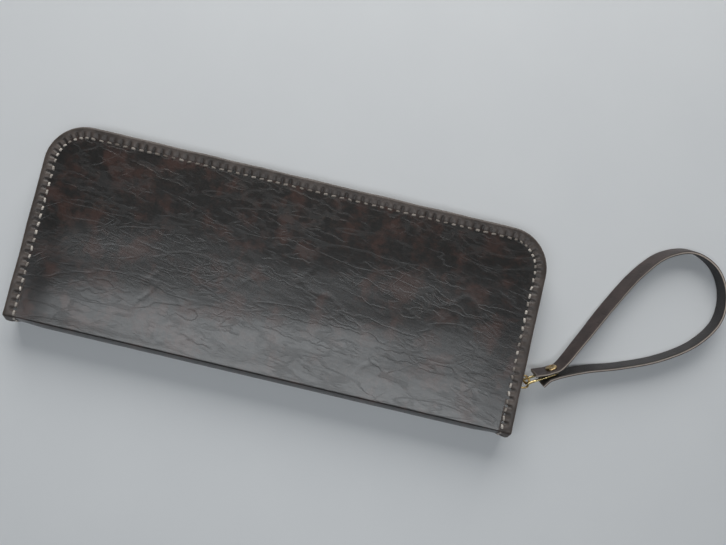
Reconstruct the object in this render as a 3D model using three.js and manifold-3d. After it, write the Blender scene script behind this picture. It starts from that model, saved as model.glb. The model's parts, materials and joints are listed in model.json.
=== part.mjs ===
// A slim zip-round case for a table tennis paddle, with a wrist strap on the zip's pull.
// Millimetres, +Z up. The back panel lies on z = 0 and the case opens along its spine, on the -Y side.
// The origin is the middle of the back panel's underside; +X runs along the case, towards the strap.

import * as THREE from 'three';
import { mergeVertices } from 'three/addons/utils/BufferGeometryUtils.js';
import Module from 'manifold-3d';

const wasm = await Module();
wasm.setup();

// Driving dimensions of the case.
const LENGTH = 300;
const DEPTH = 117;
const THICKNESS = 20;
const CORNER_RADIUS = 24;
const GAP = 0.3;

// Layers of one panel, from outside to inside.
const SKIN = 1.2;
const BOARD = 1.6;
const LINING = 0.7;

// The bound edge: a folded tape with its seam sunk in a groove.
const BINDING_WIDTH = 8;
const BINDING_LEG = 1.2;
const BINDING_INNER_LEG = 1.0;
const BINDING_HEM = 0.5;
const GROOVE_START = 6;
const GROOVE_WIDTH = 1.1;
const GROOVE_DEPTH = 0.7;
const THREAD_WIDTH = 0.5;
const THREAD_HEIGHT = 0.4;

// The zip wall that joins the two panels round three sides.
const TAPE_INSET = 2.6;
const TAPE_THICKNESS = 0.8;
const COIL_INSET = 0.6;
const COIL_THICKNESS = 1.7;
const COIL_HEIGHT = 2.3;
const HALF_CHAIN_GAP = 0.7;
const TAPE_END_Y = -54;
const CHAIN_LEFT_END_Y = -43;
const CHAIN_RIGHT_END_Y = -34;
const STOP_LENGTH = 2.4;

// The slider, at the closed end of the zip.
const SLIDER_Y = -28;
const SLIDER_LENGTH = 11;
const SLIDER_PLATE = 1.2;
const SLIDER_HALF_WIDTH = 4.1;
const SLIDER_TAIL_HALF_WIDTH = 3.5;
const BAIL_WIDTH = 3.2;
const BAIL_HALF_LENGTH = 4.2;
const BAIL_WALL = 1.2;
const BAIL_REACH = 5.2;

// The wire ring on the slider and the strap riveted to it.
const RING_PIVOT_X = 153.1;
const RING_ANGLE = THREE.MathUtils.degToRad(31);
const RING_LEAN = THREE.MathUtils.degToRad(20);
const RING_WIRE_RADIUS = 0.8;
const RING_LENGTH = 21.6;
const RING_HALF_HEIGHT = 3.2;
const RING_CORNER = 2.2;
const RIVET_AT = 17.5;
const RIVET_POST_RADIUS = 1.2;
const RIVET_HEAD_RADIUS = 3.5;
const STRAP_WIDTH = 10;
const STRAP_LAYER = 0.8;
const STRAP_OFFSET = 2.1;
const STRAP_STEPS = 72;

// Places worked out from the driving dimensions.
const endX = LENGTH / 2;
const farY = DEPTH / 2;
const spineY = -DEPTH / 2 - 0.5;
const middleZ = THICKNESS / 2;
const boardBottom = SKIN + GAP;
const boardTop = boardBottom + BOARD;
const liningBottom = boardTop + GAP;
const liningTop = liningBottom + LINING;
const bindingTop = liningBottom + BINDING_INNER_LEG;
const panelNearY = spineY + SKIN + GAP;
const boardNearY = panelNearY + 1;
const wallBottom = bindingTop + GAP;
const coilEdge = middleZ - HALF_CHAIN_GAP;

const X = new THREE.Vector3(1, 0, 0);
const Y = new THREE.Vector3(0, 1, 0);
const Z = new THREE.Vector3(0, 0, 1);

// ---------------------------------------------------------------- shape helpers

// The volume inside a closed triangle mesh, negative when its faces point inwards.
function signedVolume(positions, index) {
  const corners = [new THREE.Vector3(), new THREE.Vector3(), new THREE.Vector3()];
  let volume = 0;
  for (let i = 0; i < index.length; i += 3) {
    corners.forEach((corner, k) => corner.fromArray(positions, 3 * index[i + k]));
    volume += corners[0].dot(corners[1].clone().cross(corners[2])) / 6;
  }
  return volume;
}

// Carries a flat profile of [across, up] points past a row of stations, each with its own
// point, across direction and up direction. A closed row joins its last station to its first.
function sweep(stations, profile, closed = false) {
  const outline = profile.map(([across, up]) => new THREE.Vector2(across, up));
  if (THREE.ShapeUtils.isClockWise(outline)) outline.reverse();
  const positions = [];
  for (const station of stations) {
    for (const corner of outline) {
      const point = station.point.clone();
      point.addScaledVector(station.across, corner.x).addScaledVector(station.up, corner.y);
      positions.push(point.x, point.y, point.z);
    }
  }
  const sides = outline.length;
  const lastStart = (stations.length - 1) * sides;
  const index = [];
  for (let i = 0; i < (closed ? stations.length : stations.length - 1); i += 1) {
    const here = i * sides;
    const next = ((i + 1) % stations.length) * sides;
    for (let j = 0; j < sides; j += 1) {
      const k = (j + 1) % sides;
      index.push(here + j, here + k, next + k, here + j, next + k, next + j);
    }
  }
  if (!closed) {
    for (const [a, b, c] of THREE.ShapeUtils.triangulateShape(outline, [])) {
      index.push(a, c, b, lastStart + a, lastStart + b, lastStart + c);
    }
  }
  if (signedVolume(positions, index) < 0) index.reverse();
  const geometry = new THREE.BufferGeometry();
  geometry.setAttribute('position', new THREE.Float32BufferAttribute(positions, 3));
  geometry.setIndex(index);
  geometry.computeVertexNormals();
  return geometry;
}

// Pushes an outline along an axis: (x, y) along z, (y, z) along x, or (z, x) along y.
const PRISM_FRAMES = {
  x: new THREE.Matrix4().makeBasis(Y, Z, X),
  y: new THREE.Matrix4().makeBasis(Z, X, Y),
  z: new THREE.Matrix4(),
};

function prism(outline, axis, from, to) {
  const shape = outline instanceof THREE.Shape
    ? outline
    : new THREE.Shape(outline.map(([a, b]) => new THREE.Vector2(a, b)));
  const settings = { depth: to - from, bevelEnabled: false, curveSegments: 8, steps: 1 };
  const geometry = new THREE.ExtrudeGeometry(shape, settings);
  geometry.translate(0, 0, from);
  geometry.applyMatrix4(PRISM_FRAMES[axis]);
  return geometry;
}

function box(lowX, highX, lowY, highY, lowZ, highZ) {
  return prism([[lowX, lowY], [highX, lowY], [highX, highY], [lowX, highY]], 'z', lowZ, highZ);
}

function toSolid(geometry) {
  const bare = geometry.clone();
  bare.deleteAttribute('normal');
  bare.deleteAttribute('uv');
  const merged = mergeVertices(bare, 1e-4);
  const vertProperties = new Float32Array(merged.attributes.position.array);
  const triVerts = new Uint32Array(merged.index.array);
  return new wasm.Manifold(new wasm.Mesh({ numProp: 3, vertProperties, triVerts }));
}

function fromSolid(solid) {
  const mesh = solid.getMesh();
  const geometry = new THREE.BufferGeometry();
  geometry.setAttribute('position', new THREE.Float32BufferAttribute(mesh.vertProperties, 3));
  geometry.setIndex(Array.from(mesh.triVerts));
  geometry.computeVertexNormals();
  return geometry;
}

function join(...geometries) {
  return fromSolid(geometries.map(toSolid).reduce((whole, piece) => whole.add(piece)));
}

function cut(geometry, ...tools) {
  return fromSolid(tools.map(toSolid).reduce((whole, tool) => whole.subtract(tool), toSolid(geometry)));
}

// ---------------------------------------------------------------- the case's own outlines

// Stations along the case's outer edge: up the left side, round both far corners and down the
// right side. Across points inwards, so a profile's first number is its inset from the edge.
function rimStations(leftY, rightY) {
  const stations = [];
  const add = (x, y, angle) => stations.push({
    point: new THREE.Vector3(x, y, 0),
    across: new THREE.Vector3(-Math.cos(angle), -Math.sin(angle), 0),
    up: Z,
  });
  const cornerSteps = 8;
  add(-endX, leftY, Math.PI);
  for (const side of [-1, 1]) {
    for (let i = 0; i <= cornerSteps; i += 1) {
      const turned = (i / cornerSteps) * (Math.PI / 2);
      const angle = side < 0 ? Math.PI - turned : Math.PI / 2 - turned;
      const x = side * (endX - CORNER_RADIUS) + CORNER_RADIUS * Math.cos(angle);
      add(x, farY - CORNER_RADIUS + CORNER_RADIUS * Math.sin(angle), angle);
    }
  }
  add(endX, rightY, 0);
  return stations;
}

// A panel's outline at an inset from the outer edge, straight along the spine.
function panelShape(inset, nearY) {
  const halfLength = endX - inset;
  const far = farY - inset;
  const radius = CORNER_RADIUS - inset;
  const shape = new THREE.Shape();
  shape.moveTo(-halfLength, nearY);
  shape.lineTo(halfLength, nearY);
  shape.absarc(halfLength - radius, far - radius, radius, 0, Math.PI / 2, false);
  shape.absarc(-halfLength + radius, far - radius, radius, Math.PI / 2, Math.PI, false);
  return shape;
}

// The front half is the back half turned over about the middle height.
const asBack = (z) => z;
const asFront = (z) => THICKNESS - z;
const place = (profile, side) => profile.map(([inset, z]) => [inset, side(z)]);

function panelLayer(inset, nearY, low, high, side) {
  const levels = [side(low), side(high)].sort((a, b) => a - b);
  return prism(panelShape(inset, nearY), 'z', levels[0], levels[1]);
}

// ---------------------------------------------------------------- pieces of a panel

const cover = (side) => panelLayer(BINDING_WIDTH + GAP, panelNearY, 0, SKIN, side);
const board = (side) => panelLayer(BINDING_LEG + GAP, boardNearY, boardBottom, boardTop, side);
const lining = (side) => panelLayer(BINDING_WIDTH + GAP, boardNearY, liningBottom, liningTop, side);

// The tape folded round the panel's edge, with a groove in its outer leg for the seam.
function binding(side) {
  const grooveEnd = GROOVE_START + GROOVE_WIDTH;
  const profile = [
    [BINDING_HEM, 0],
    [GROOVE_START, 0],
    [GROOVE_START, GROOVE_DEPTH],
    [grooveEnd, GROOVE_DEPTH],
    [grooveEnd, 0],
    [BINDING_WIDTH, 0],
    [BINDING_WIDTH, BINDING_LEG],
    [BINDING_LEG, BINDING_LEG],
    [BINDING_LEG, liningBottom],
    [BINDING_WIDTH, liningBottom],
    [BINDING_WIDTH, bindingTop],
    [BINDING_HEM, bindingTop],
    [0, bindingTop - BINDING_HEM],
    [0, BINDING_HEM],
  ];
  return sweep(rimStations(panelNearY, panelNearY), place(profile, side));
}

// The seam thread, lying flush in the binding's groove.
function stitching(side) {
  const inset = GROOVE_START + (GROOVE_WIDTH - THREAD_WIDTH) / 2;
  const profile = [
    [inset, 0],
    [inset + THREAD_WIDTH, 0],
    [inset + THREAD_WIDTH, THREAD_HEIGHT],
    [inset, THREAD_HEIGHT],
  ];
  return sweep(rimStations(panelNearY, panelNearY), place(profile, side));
}

function zipTape(side) {
  const profile = [
    [TAPE_INSET, wallBottom],
    [TAPE_INSET + TAPE_THICKNESS, wallBottom],
    [TAPE_INSET + TAPE_THICKNESS, coilEdge],
    [TAPE_INSET, coilEdge],
  ];
  return sweep(rimStations(TAPE_END_Y, TAPE_END_Y), place(profile, side));
}

// One half of the nylon coil, as its plain envelope on the tape's outer face.
function zipCoil(side) {
  const bottom = coilEdge - COIL_HEIGHT;
  const hem = 0.4;
  const profile = [
    [COIL_INSET + hem, bottom],
    [COIL_INSET + COIL_THICKNESS, bottom],
    [COIL_INSET + COIL_THICKNESS, coilEdge],
    [COIL_INSET + hem, coilEdge],
    [COIL_INSET, coilEdge - hem],
    [COIL_INSET, bottom + hem],
  ];
  return sweep(rimStations(CHAIN_LEFT_END_Y, CHAIN_RIGHT_END_Y), place(profile, side));
}

// The small metal clip past the coil's end, where the slider stops when the case is closed.
function topStop(side) {
  const levels = [side(coilEdge - COIL_HEIGHT), side(coilEdge)].sort((a, b) => a - b);
  const from = CHAIN_RIGHT_END_Y - GAP - STOP_LENGTH;
  const outside = endX - COIL_INSET;
  return box(outside - COIL_THICKNESS, outside, from, from + STOP_LENGTH, levels[0], levels[1]);
}

// The wider clip that ends the chain at the left, across both coils.
function bottomStop() {
  const to = CHAIN_LEFT_END_Y - GAP;
  const outside = -endX + COIL_INSET;
  const low = coilEdge - COIL_HEIGHT;
  return box(outside, outside + COIL_THICKNESS, to - STOP_LENGTH, to, low, asFront(low));
}

// ---------------------------------------------------------------- pieces of the spine

function spineCover() {
  const halfLength = endX - BINDING_WIDTH - GAP;
  return box(-halfLength, halfLength, spineY, spineY + SKIN, 0, THICKNESS);
}

function spineBoard() {
  const halfLength = endX - BINDING_LEG - GAP;
  const outer = spineY + SKIN + GAP;
  return box(-halfLength, halfLength, outer, outer + BOARD, wallBottom, asFront(wallBottom));
}

function spineLining() {
  const halfLength = endX - BINDING_WIDTH - GAP;
  const outer = spineY + liningBottom;
  return box(-halfLength, halfLength, outer, outer + LINING, wallBottom, asFront(wallBottom));
}

// The binding carried across an end of the spine. Its outer leg runs the full height and closes
// the folds; its web and inner leg stay between the two panels' bindings.
function spineBinding(end) {
  const across = (inset) => end * (endX - inset);
  const grooveEnd = GROOVE_START + GROOVE_WIDTH;
  const leg = [
    [across(0), spineY + BINDING_HEM],
    [across(BINDING_HEM), spineY],
    [across(GROOVE_START), spineY],
    [across(GROOVE_START), spineY + GROOVE_DEPTH],
    [across(grooveEnd), spineY + GROOVE_DEPTH],
    [across(grooveEnd), spineY],
    [across(BINDING_WIDTH), spineY],
    [across(BINDING_WIDTH), spineY + BINDING_LEG],
    [across(0), spineY + BINDING_LEG],
  ];
  const overlap = 0.2;
  const fold = [
    [across(0), spineY + BINDING_LEG - overlap],
    [across(BINDING_LEG), spineY + BINDING_LEG - overlap],
    [across(BINDING_LEG), spineY + liningBottom],
    [across(BINDING_WIDTH), spineY + liningBottom],
    [across(BINDING_WIDTH), spineY + bindingTop],
    [across(0), spineY + bindingTop],
  ];
  return join(prism(leg, 'z', 0, THICKNESS), prism(fold, 'z', wallBottom, asFront(wallBottom)));
}

function spineStitching(end) {
  const inset = GROOVE_START + (GROOVE_WIDTH - THREAD_WIDTH) / 2;
  const edges = [end * (endX - inset), end * (endX - inset - THREAD_WIDTH)].sort((a, b) => a - b);
  return box(edges[0], edges[1], spineY, spineY + THREAD_HEIGHT, GAP, THICKNESS - GAP);
}

// ---------------------------------------------------------------- the slider

const coilOuterX = endX - COIL_INSET;
const tapeOuterX = endX - TAPE_INSET;
const tapeInnerX = tapeOuterX - TAPE_THICKNESS;
const outerPlateX = coilOuterX + GAP;
const outerFaceX = outerPlateX + SLIDER_PLATE;
const innerPlateX = tapeInnerX - GAP;

// Two plates joined by a thin wedge at the nose, with the outer plate's rims turned in
// over the coils. The nose points to the spine and the tail to the closed chain.
function sliderBody() {
  const nose = SLIDER_Y - SLIDER_LENGTH / 2;
  const tail = SLIDER_Y + SLIDER_LENGTH / 2;
  const bevel = 1.4;
  const outline = [
    [nose, -SLIDER_HALF_WIDTH + bevel],
    [nose + bevel, -SLIDER_HALF_WIDTH],
    [tail - bevel, -SLIDER_TAIL_HALF_WIDTH],
    [tail, -SLIDER_TAIL_HALF_WIDTH + bevel],
    [tail, SLIDER_TAIL_HALF_WIDTH - bevel],
    [tail - bevel, SLIDER_TAIL_HALF_WIDTH],
    [nose + bevel, SLIDER_HALF_WIDTH],
    [nose, SLIDER_HALF_WIDTH - bevel],
  ].map(([y, z]) => [y, z + middleZ]);
  const outerPlate = prism(outline, 'x', outerPlateX, outerFaceX);
  const innerPlate = prism(outline, 'x', innerPlateX - SLIDER_PLATE, innerPlateX);
  const wedgeHalf = HALF_CHAIN_GAP - GAP;
  const wedge = box(innerPlateX - 0.2, outerPlateX + 0.2, nose + 0.4, nose + 2.6,
    middleZ - wedgeHalf, middleZ + wedgeHalf);
  const coilReach = HALF_CHAIN_GAP + COIL_HEIGHT + GAP;
  const rims = [-1, 1].map((end) => {
    const levels = [middleZ + end * coilReach, middleZ + end * (coilReach + 0.6)].sort((a, b) => a - b);
    return box(tapeOuterX + GAP, outerPlateX + 0.2, nose + bevel + 0.4, tail - bevel - 0.4,
      levels[0], levels[1]);
  });
  return join(outerPlate, innerPlate, wedge, ...rims);
}

// The arch on the outer plate that holds the wire ring.
function sliderBail() {
  const foot = outerFaceX + GAP;
  const top = outerFaceX + BAIL_REACH;
  const low = SLIDER_Y - BAIL_HALF_LENGTH;
  const high = SLIDER_Y + BAIL_HALF_LENGTH;
  const bevel = 1.2;
  const outline = [
    [foot, low],
    [top - bevel, low],
    [top, low + bevel],
    [top, high - bevel],
    [top - bevel, high],
    [foot, high],
    [foot, high - BAIL_WALL],
    [top - BAIL_WALL - 0.3, high - BAIL_WALL],
    [top - BAIL_WALL, high - BAIL_WALL - 0.5],
    [top - BAIL_WALL, low + BAIL_WALL + 0.5],
    [top - BAIL_WALL - 0.3, low + BAIL_WALL],
    [foot, low + BAIL_WALL],
  ];
  return prism(outline, 'z', middleZ - BAIL_WIDTH / 2, middleZ + BAIL_WIDTH / 2);
}

// ---------------------------------------------------------------- the ring and the rivet

// The ring, the rivet and the strap's two ends share a frame: x along the ring from its
// pivot in the bail, y across it and z up its height.
const ringFrame = new THREE.Group();
ringFrame.position.set(RING_PIVOT_X, SLIDER_Y, middleZ);
ringFrame.rotation.set(RING_LEAN, 0, RING_ANGLE, 'ZYX');
ringFrame.updateMatrixWorld();
const atRing = (along, across, up = 0) => ringFrame.localToWorld(new THREE.Vector3(along, across, up));

// A round wire bent into a long rectangle with rounded corners, standing on edge.
function pullRing() {
  const stations = [];
  const cornerSteps = 4;
  const corners = [
    [RING_LENGTH - 2 * RING_WIRE_RADIUS, RING_HALF_HEIGHT, 0],
    [0, RING_HALF_HEIGHT, Math.PI / 2],
    [0, -RING_HALF_HEIGHT, Math.PI],
    [RING_LENGTH - 2 * RING_WIRE_RADIUS, -RING_HALF_HEIGHT, -Math.PI / 2],
  ];
  for (const [along, up, startAngle] of corners) {
    const centreX = along + (along > 0 ? -RING_CORNER : RING_CORNER);
    const centreZ = up - Math.sign(up) * RING_CORNER;
    for (let i = 0; i <= cornerSteps; i += 1) {
      const angle = startAngle + (i / cornerSteps) * (Math.PI / 2);
      const outwards = new THREE.Vector3(Math.cos(angle), 0, Math.sin(angle));
      const point = new THREE.Vector3(centreX, 0, centreZ).addScaledVector(outwards, RING_CORNER);
      stations.push({ point, across: outwards, up: Y });
    }
  }
  const wireSides = 8;
  const wire = Array.from({ length: wireSides }, (_, i) => {
    const angle = ((i + 0.5) / wireSides) * 2 * Math.PI;
    return [RING_WIRE_RADIUS * Math.cos(angle), RING_WIRE_RADIUS * Math.sin(angle)];
  });
  return sweep(stations, wire, true);
}

const strapFace = STRAP_OFFSET + STRAP_LAYER + GAP / 2;
const headFace = strapFace + 0.5;

function rivetPost() {
  const tip = headFace + 0.6;
  const profile = [
    [0, -headFace - 1.1],
    [RIVET_HEAD_RADIUS - 0.5, -headFace - 1.1],
    [RIVET_HEAD_RADIUS, -headFace - 0.6],
    [RIVET_HEAD_RADIUS, -headFace],
    [RIVET_POST_RADIUS, -headFace],
    [RIVET_POST_RADIUS, tip],
    [0, tip],
  ];
  return new THREE.LatheGeometry(profile.map(([r, y]) => new THREE.Vector2(r, y)), 20);
}

function rivetCap() {
  const bore = RIVET_POST_RADIUS + GAP;
  const profile = [
    [0, headFace + 0.9],
    [bore, headFace + 0.9],
    [bore, headFace],
    [RIVET_HEAD_RADIUS, headFace],
    [RIVET_HEAD_RADIUS, headFace + 0.5],
    [RIVET_HEAD_RADIUS - 0.8, headFace + 1.2],
    [0, headFace + 1.7],
  ];
  return new THREE.LatheGeometry(profile.map(([r, y]) => new THREE.Vector2(r, y)), 20);
}

// ---------------------------------------------------------------- the wrist strap

// The strap's middle line, from its upper end beside the ring, out round the loop and back to
// its lower end. Each point has its lean in degrees: how far its top edge tips out of the loop.
const strapRoute = [
  [atRing(6.5, 3.5), -20],
  [atRing(10.2, 2.8), -20],
  [atRing(RIVET_AT - 3.6, STRAP_OFFSET), -20],
  [atRing(RIVET_AT, STRAP_OFFSET), -20],
  [atRing(RIVET_AT + 3.6, STRAP_OFFSET + 0.1), -20],
  [new THREE.Vector3(180.5, 2.5, 8.2), -25],
  [new THREE.Vector3(193.5, 27.5, 5.9), -30],
  [new THREE.Vector3(207.5, 51.5, 5.6), -28],
  [new THREE.Vector3(220.5, 65.5, 5.5), -22],
  [new THREE.Vector3(236.5, 71.2, 5.4), -13],
  [new THREE.Vector3(251.5, 65, 5.3), -4],
  [new THREE.Vector3(259.7, 51, 5.3), 3],
  [new THREE.Vector3(259.5, 34, 5.3), 7],
  [new THREE.Vector3(249, 18, 5.3), 10],
  [new THREE.Vector3(230, 4.2, 5.4), 13],
  [new THREE.Vector3(207, -6, 5.7), 15],
  [new THREE.Vector3(187, -12.6, 7.2), 18],
  [atRing(RIVET_AT + 3.8, -STRAP_OFFSET - 0.1), 20],
  [atRing(RIVET_AT, -STRAP_OFFSET), 20],
  [atRing(RIVET_AT - 3.4, -STRAP_OFFSET - 0.1), 20],
  [atRing(11.6, -3.2), 20],
  [atRing(9.2, -4.4), 20],
];

function strapStations() {
  const curve = new THREE.CatmullRomCurve3(strapRoute.map(([point]) => point), false, 'centripetal');
  const leanCurve = new THREE.CatmullRomCurve3(
    strapRoute.map(([, lean], i) => new THREE.Vector3(i, lean, 0)),
    false,
    'catmullrom',
  );
  const stations = [];
  for (let i = 0; i <= STRAP_STEPS; i += 1) {
    const at = curve.getUtoTmapping(i / STRAP_STEPS);
    const along = curve.getTangent(at);
    const lean = THREE.MathUtils.degToRad(leanCurve.getPoint(at).y);
    const outwards = Z.clone().cross(along).normalize();
    const up = Z.clone().multiplyScalar(Math.cos(lean)).addScaledVector(outwards, Math.sin(lean));
    up.addScaledVector(along, -up.dot(along)).normalize();
    stations.push({ point: curve.getPoint(at), across: up.clone().cross(along), up });
  }
  return stations;
}

// One layer of the strap, with the rivet's holes through both of its ends.
function strapLayer(face) {
  const half = STRAP_WIDTH / 2;
  const levels = [face * (GAP / 2), face * (GAP / 2 + STRAP_LAYER)];
  const profile = [[levels[0], -half], [levels[1], -half], [levels[1], half], [levels[0], half]];
  const drill = new THREE.CylinderGeometry(RIVET_POST_RADIUS + 0.4, RIVET_POST_RADIUS + 0.4, 14, 16);
  drill.translate(RIVET_AT, 0, 0);
  drill.applyMatrix4(ringFrame.matrixWorld);
  return cut(sweep(strapStations(), profile), drill);
}

// ---------------------------------------------------------------- assembly

const FINISHES = {
  leatherette: { color: 0x2b211e, roughness: 0.45, metalness: 0 },
  binding: { color: 0x4d423e, roughness: 0.55, metalness: 0 },
  thread: { color: 0xb9b0a2, roughness: 0.8, metalness: 0 },
  board: { color: 0x8f8270, roughness: 0.9, metalness: 0 },
  lining: { color: 0x1f1d1e, roughness: 0.95, metalness: 0 },
  tape: { color: 0x2a2220, roughness: 0.9, metalness: 0 },
  nylon: { color: 0x241d1b, roughness: 0.5, metalness: 0 },
  brass: { color: 0xb08d4a, roughness: 0.3, metalness: 1 },
  strap: { color: 0x3a2c29, roughness: 0.5, metalness: 0 },
};

function piece(name, geometry, finish) {
  const mesh = new THREE.Mesh(geometry, new THREE.MeshStandardMaterial(FINISHES[finish]));
  mesh.name = name;
  return mesh;
}

const group = new THREE.Group();

for (const [half, side] of [['back', asBack], ['front', asFront]]) {
  group.add(
    piece(`${half}_cover`, cover(side), 'leatherette'),
    piece(`${half}_board`, board(side), 'board'),
    piece(`${half}_lining`, lining(side), 'lining'),
    piece(`${half}_binding`, binding(side), 'binding'),
    piece(`${half}_stitching`, stitching(side), 'thread'),
    piece(`${half}_zip_tape`, zipTape(side), 'tape'),
    piece(`${half}_zip_coil`, zipCoil(side), 'nylon'),
    piece(`${half}_top_stop`, topStop(side), 'brass'),
  );
}
group.add(piece('bottom_stop', bottomStop(), 'brass'));

group.add(
  piece('spine_cover', spineCover(), 'leatherette'),
  piece('spine_board', spineBoard(), 'board'),
  piece('spine_lining', spineLining(), 'lining'),
);
for (const [name, end] of [['left', -1], ['right', 1]]) {
  group.add(
    piece(`spine_binding_${name}`, spineBinding(end), 'binding'),
    piece(`spine_stitching_${name}`, spineStitching(end), 'thread'),
  );
}

group.add(piece('zip_slider', sliderBody(), 'brass'), piece('slider_bail', sliderBail(), 'brass'));

const rivet = new THREE.Group();
rivet.position.set(RIVET_AT, 0, 0);
rivet.add(piece('rivet_post', rivetPost(), 'brass'), piece('rivet_cap', rivetCap(), 'brass'));
ringFrame.add(piece('pull_ring', pullRing(), 'brass'), rivet);
group.add(ringFrame);

group.add(piece('strap_face', strapLayer(1), 'strap'), piece('strap_backing', strapLayer(-1), 'strap'));

export default group;
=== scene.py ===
import json
import math

import bpy
import numpy as np
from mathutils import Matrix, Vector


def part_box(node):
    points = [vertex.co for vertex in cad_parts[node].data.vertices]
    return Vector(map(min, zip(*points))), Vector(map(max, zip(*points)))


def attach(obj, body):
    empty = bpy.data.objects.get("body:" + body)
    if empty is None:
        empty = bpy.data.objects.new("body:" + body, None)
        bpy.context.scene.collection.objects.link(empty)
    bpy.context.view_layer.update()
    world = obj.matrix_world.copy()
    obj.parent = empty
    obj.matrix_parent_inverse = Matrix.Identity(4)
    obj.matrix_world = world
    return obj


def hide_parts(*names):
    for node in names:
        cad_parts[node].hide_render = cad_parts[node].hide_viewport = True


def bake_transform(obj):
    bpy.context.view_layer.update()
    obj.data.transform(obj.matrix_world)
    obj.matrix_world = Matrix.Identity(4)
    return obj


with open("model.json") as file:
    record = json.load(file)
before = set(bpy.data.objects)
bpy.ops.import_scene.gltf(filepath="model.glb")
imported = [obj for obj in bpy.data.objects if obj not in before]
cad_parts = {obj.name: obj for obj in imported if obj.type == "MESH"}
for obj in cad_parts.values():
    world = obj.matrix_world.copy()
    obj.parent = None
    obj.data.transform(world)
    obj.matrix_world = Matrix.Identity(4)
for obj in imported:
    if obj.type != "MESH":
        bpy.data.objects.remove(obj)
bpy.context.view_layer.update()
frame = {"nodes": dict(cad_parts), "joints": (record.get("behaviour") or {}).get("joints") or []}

# Camera. It looks almost straight down from about 0.48 m, with the case turned a little
# clockwise in the view, and its sight line passes just to the right of the case's middle.
camera_data = bpy.data.cameras.new("camera")
camera_data.sensor_width = 36.0
camera_data.lens = 39.7
camera = bpy.data.objects.new("camera", camera_data)
camera.location = (0.0428, -0.0225, 0.4831)
camera.rotation_euler = (math.radians(4.09), math.radians(-1.32), math.radians(13.24))
bpy.context.scene.collection.objects.link(camera)
bpy.context.scene.camera = camera
bpy.context.scene.view_settings.view_transform = "Standard"


# Cover. One sheet of embossed leatherette wraps the front panel, the spine and the back panel.
# It is glued over the boards, tucks under the binding round three sides and folds at the spine.
# It is made in two parts that meet halfway up the spine, each curving round its own fold.
MM = 0.001
binding_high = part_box("front_binding")[1]
HALF_LENGTH = binding_high.x
FAR_Y = binding_high.y
THICKNESS = binding_high.z
SPINE_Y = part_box("spine_cover")[0].y
CORNER = 24 * MM
FOLD_RADIUS = 0.9 * MM
SPINE_BOW = 2.3 * MM
BINDING_WIDTH = 8 * MM
SHARP_EDGE = math.radians(66)
PANEL_TUCK = 0.3 * MM
# Each half and the way it faces: 1 as modelled, -1 turned over.
FOLDS = {"front": 1, "back": -1}


def smooth(value, low, high):
    """Smoothstep: 0 below low, 1 above high, and the cubic 3t^2 - 2t^3 between them."""
    t = np.clip((value - low) / (high - low), 0, 1)
    return t * t * (3 - 2 * t)


def ripples(points, wavelength, seed, waves=9):
    """Soft irregular ripples: the mean of plane waves with seeded directions, lengths and phases."""
    draw = np.random.default_rng(seed)
    total = np.zeros(points.shape[:-1])
    for _ in range(waves):
        direction = draw.normal(size=3)
        direction /= np.linalg.norm(direction)
        number = 2 * math.pi / (wavelength * draw.uniform(0.7, 1.5))
        total += np.sin(points @ direction * number + draw.uniform(0, 2 * math.pi))
    return total / math.sqrt(waves)


def grid_faces(rows, columns, wrap_rows=False, wrap_columns=False):
    """Quads between neighbouring rows and columns of a grid, joined up where a side wraps."""
    r, c = np.meshgrid(
        np.arange(rows if wrap_rows else rows - 1),
        np.arange(columns if wrap_columns else columns - 1),
        indexing="ij",
    )
    r, c = r.ravel(), c.ravel()
    r_next, c_next = (r + 1) % rows, (c + 1) % columns
    corners = (r * columns + c, r * columns + c_next, r_next * columns + c_next, r_next * columns + c)
    return np.stack(corners, 1)


def enclosed_volume(points, quads):
    """Sum over the faces of a . (b x c) / 6: positive when they point out of the body."""
    first, second, third, fourth = (points[quads[:, k]] for k in range(4))
    halves = np.cross(second, third) + np.cross(third, fourth)
    return float((first * halves).sum() / 6)


def piece(name, points, quads, caps=(), **attributes):
    """A mesh object from points, quads and flat end caps, turned so that its faces point outwards."""
    points = np.asarray(points, float).reshape(-1, 3)
    middle = points.mean(0)
    faces = quads.tolist() + [list(cap) for cap in caps]
    if enclosed_volume(points - middle, quads) < 0:
        faces = [face[::-1] for face in faces]
    mesh = bpy.data.meshes.new(name)
    mesh.from_pydata(points.tolist(), [], faces)
    for label, values in attributes.items():
        attribute = mesh.attributes.new(label, "FLOAT", "POINT")
        attribute.data.foreach_set("value", np.asarray(values, np.float32).ravel())
    mesh.shade_smooth()
    mesh.set_sharp_from_angle(angle=SHARP_EDGE)
    made = bpy.data.objects.new(name, mesh)
    bpy.context.scene.collection.objects.link(made)
    return made


def end_caps(rows, columns):
    """The two flat ends of a closed section of columns points carried along rows stations."""
    return range(columns)[::-1], range((rows - 1) * columns, rows * columns)


def shell(name, outside, inside, **attributes):
    """A sheet with a thickness: an outer and an inner grid of points, joined round all four edges."""
    rows, columns = outside.shape[:2]
    count = rows * columns
    sheet = grid_faces(rows, columns)
    index = np.arange(count).reshape(rows, columns)
    border = np.concatenate([index[0, :-1], index[:-1, -1], index[-1, :0:-1], index[:0:-1, 0]])
    ahead = np.roll(border, -1)
    rim = np.stack([ahead, border, border + count, ahead + count], 1)
    quads = np.concatenate([sheet, sheet[:, ::-1] + count, rim])
    both = {label: np.concatenate([values.ravel()] * 2) for label, values in attributes.items()}
    return piece(name, np.concatenate([outside.reshape(-1, 3), inside.reshape(-1, 3)]), quads, **both)


def rim_distance(x, y):
    """How far a point is from the bound edge: to the nearest straight side, or to a corner's arc."""
    past_x = np.abs(x) - (HALF_LENGTH - CORNER)
    past_y = y - (FAR_Y - CORNER)
    straight = np.minimum(HALF_LENGTH - np.abs(x), FAR_Y - y)
    return np.where((past_x > 0) & (past_y > 0), CORNER - np.hypot(past_x, past_y), straight)


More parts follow.
